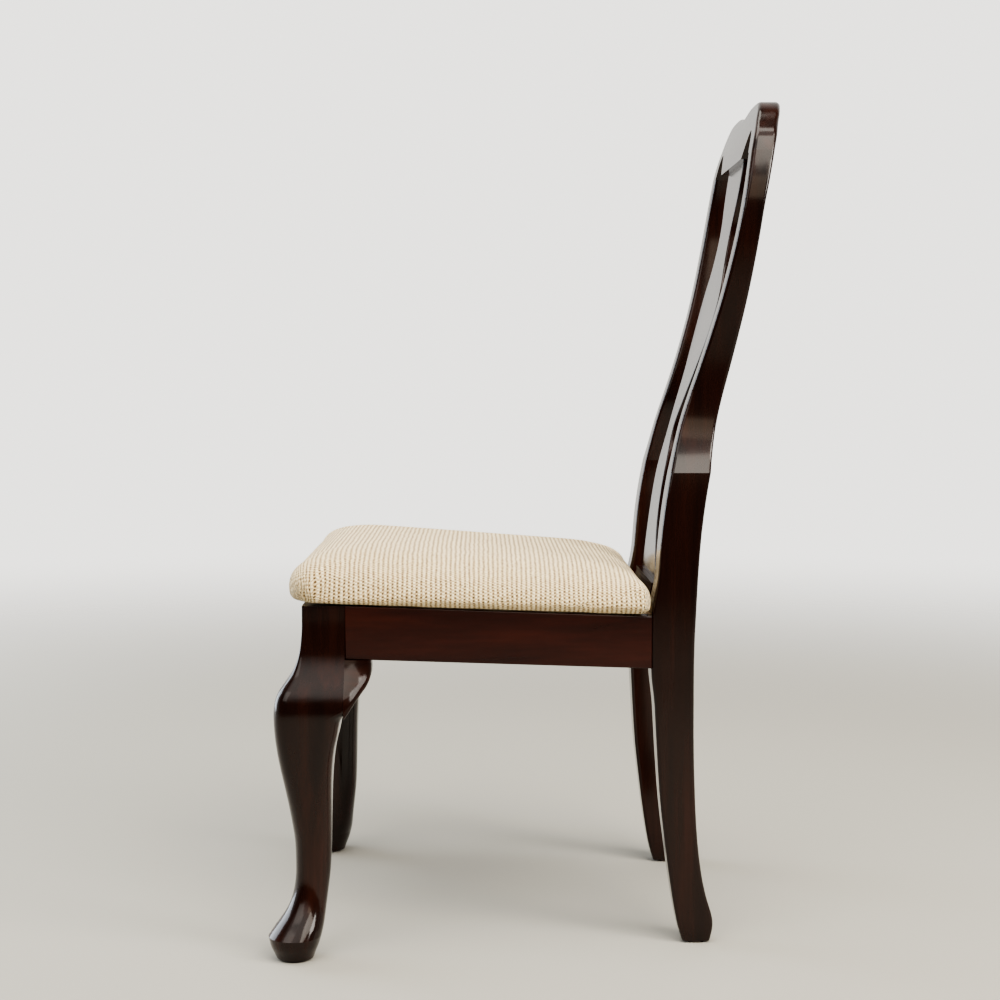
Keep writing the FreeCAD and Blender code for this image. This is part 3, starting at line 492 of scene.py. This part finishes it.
def dust_sheet():
    """Black cloth drawn flat under the seat board, a little slack in the middle."""
    low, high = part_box("dust_cover")
    cloth = copied("dust_sheet", "dust_cover")
    bpy.ops.object.mode_set(mode="EDIT")
    bpy.ops.mesh.select_mode(type="FACE")
    bpy.ops.mesh.select_all(action="DESELECT")
    bpy.ops.object.mode_set(mode="OBJECT")
    for face in cloth.data.polygons:
        face.select = face.normal.z > DUST_UNDERSIDE
    bpy.ops.object.mode_set(mode="EDIT")
    bpy.ops.mesh.delete(type="FACE")
    cut_across(low, high, (1, 0, 0))
    cut_across(low, high, (0, 1, 0))
    bpy.ops.object.mode_set(mode="OBJECT")
    middle = (low + high) / 2
    reach = (high - low) / 2 * DUST_HELD
    for v in cloth.data.vertices:
        a, b = (v.co.x - middle.x) / reach.x, (v.co.y - middle.y) / reach.y
        v.co.z -= DUST_SLACK * max(1 - a * a, 0) * max(1 - b * b, 0)
    doubled = cloth.modifiers.new("thickness", "SOLIDIFY")
    doubled.thickness = DUST_THICKNESS
    doubled.offset = -1
    apply_all(cloth)
    dress(cloth, dust_cloth())
    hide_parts("dust_cover")
    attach(cloth, "root")


# Finishes of the CAD pieces

def finish_frame():
    upright = lacquered_wood("post_lacquer", "upright", POST_STAIN)
    across = lacquered_wood("crest_lacquer", "across", POST_STAIN)
    deep = lacquered_wood("knee_lacquer", "deep", POST_STAIN, KNEE_GLOSS)
    side = lacquered_wood("side_rail_lacquer", "deep", REDDER_RAIL_TONES)
    end = lacquered_wood("end_rail_lacquer", "across", REDDER_RAIL_TONES)
    dull = lacquered_wood("shoe_lacquer", "across", POST_STAIN, SHOE_GLOSS)
    bare = plain_wood()
    finishes = {
        "front_leg": upright, "back_leg": upright, "splat": upright, "splat_shoe": dull,
        "knee_block_side": deep, "knee_block_front": across, "side_rail": side,
        "front_rail": end, "rear_rail": end, "crest_rail": across,
        "corner_block": bare, "rail_dowels": bare, "crest_dowels": bare,
        "seat_board": plywood(), "seat_screws": screw_steel(), "foot_glides": glide_plastic(),
    }
    for name, obj in nodes.items():
        matching = [key for key in finishes if name.startswith(key)]
        if matching:
            dress(obj, finishes[max(matching, key=len)])


# Stage: floor, light and camera

def lay_floor():
    bpy.ops.object.select_all(action="DESELECT")
    bpy.ops.mesh.primitive_plane_add(size=FLOOR_SIZE, location=(0, 0, 0))
    floor = bpy.context.object
    floor.name = "floor"
    dress(floor, pale_floor())


def soft_light(name, place, target, size, power, colour):
    data = bpy.data.lights.new(name, "AREA")
    data.shape = "RECTANGLE"
    data.size, data.size_y = size
    data.energy = power
    data.color = colour
    light = bpy.data.objects.new(name, data)
    light.location = place
    light.rotation_euler = (Vector(target) - Vector(place)).to_track_quat("-Z", "Y").to_euler()
    bpy.context.scene.collection.objects.link(light)


BRIGHT_SIDE = 1.05
DIM_SIDE = 0.05
GLOW_TOWARDS = (0.5, -0.1, 0.86)
GLOW_STRENGTH = 2.2
BACKDROP_STRENGTH = 1.9
STUDIO_TINT = (0.95, 0.93, 0.885, 1)
TONE = "AgX - Medium High Contrast"


def studio_surround():
    """Pale surroundings: bright beyond the chair, dim behind the camera, with a soft glow overhead."""
    world = bpy.data.worlds.new("studio")
    bpy.context.scene.world = world
    world.use_nodes = True
    tree = world.node_tree
    direction = node(tree, "ShaderNodeTexCoord")
    parts = node(tree, "ShaderNodeSeparateXYZ")
    tree.links.new(direction.outputs["Generated"], parts.inputs["Vector"])
    above = number(tree, "MULTIPLY", number(tree, "MAXIMUM", parts.outputs["Z"], 0), 0.7)
    dim = node(tree, "ShaderNodeMapRange", interpolation_type="SMOOTHSTEP")
    dim.inputs["From Min"].default_value = -0.4
    dim.inputs["From Max"].default_value = 0.5
    dim.inputs["To Min"].default_value = BRIGHT_SIDE
    dim.inputs["To Max"].default_value = DIM_SIDE
    tree.links.new(number(tree, "ADD", parts.outputs["X"], above), dim.inputs["Value"])
    towards = node(tree, "ShaderNodeVectorMath", operation="DOT_PRODUCT")
    tree.links.new(direction.outputs["Generated"], towards.inputs[0])
    towards.inputs[1].default_value = GLOW_TOWARDS
    glow = node(tree, "ShaderNodeMapRange", interpolation_type="SMOOTHSTEP")
    glow.inputs["From Min"].default_value = 0.7
    glow.inputs["From Max"].default_value = 1
    glow.inputs["To Min"].default_value = 0
    glow.inputs["To Max"].default_value = GLOW_STRENGTH
    tree.links.new(towards.outputs["Value"], glow.inputs["Value"])
    lit = number(tree, "ADD", dim.outputs["Result"], glow.outputs["Result"])
    ray = node(tree, "ShaderNodeLightPath")
    level = node(tree, "ShaderNodeMix", data_type="FLOAT")
    tree.links.new(ray.outputs["Is Camera Ray"], level.inputs["Factor"])
    tree.links.new(lit, level.inputs["A"])
    level.inputs["B"].default_value = BACKDROP_STRENGTH
    background = tree.nodes["Background"]
    background.inputs["Color"].default_value = STUDIO_TINT
    tree.links.new(level.outputs["Result"], background.inputs["Strength"])


def light_studio():
    studio_surround()
    bpy.context.scene.view_settings.look = TONE
    soft_light("overhead", (0.2, -0.3, 2.9), (0, -0.1, 0.45), (1.6, 1.6), 45, (1, 0.95, 0.86))
    soft_light("key", (2, 1.6, 2.9), (0, 0, 0.45), (2.4, 2.4), 125, (1, 0.93, 0.82))
    soft_light("rear_key", (1.4, 2.4, 1.6), (0, 0, 0.45), (1, 1), 55, (1, 0.95, 0.88))
    soft_light("warm_side", (3.2, 0.6, 1.9), (0, 0.2, 0.8), (1.2, 0.8), 7, (1, 0.8, 0.6))
    soft_light("fill", (2.2, -1.9, 2.4), (0, 0, 0.45), (2, 2), 25, (1, 0.94, 0.86))
    soft_light("window", (-1.2, -2.6, 1), (0, -0.1, 0.4), (1.6, 2), 70, (0.82, 0.91, 1))


LENS_PIXELS = 1673
PICTURE_PIXELS = 1000
CAMERA_PLACE = Vector((2.148, -0.0578, 0.680))
CAMERA_FORWARD = Vector((-0.99721, 0.0122, -0.0736))


def place_camera():
    data = bpy.data.cameras.new("camera")
    data.sensor_width = 36
    data.lens = LENS_PIXELS / PICTURE_PIXELS * data.sensor_width
    camera = bpy.data.objects.new("camera", data)
    camera.location = CAMERA_PLACE
    camera.rotation_euler = CAMERA_FORWARD.to_track_quat("-Z", "Y").to_euler()
    bpy.context.scene.collection.objects.link(camera)
    bpy.context.scene.camera = camera


finish_frame()
seat_cushion()
dust_sheet()
lay_floor()
light_studio()
place_camera()
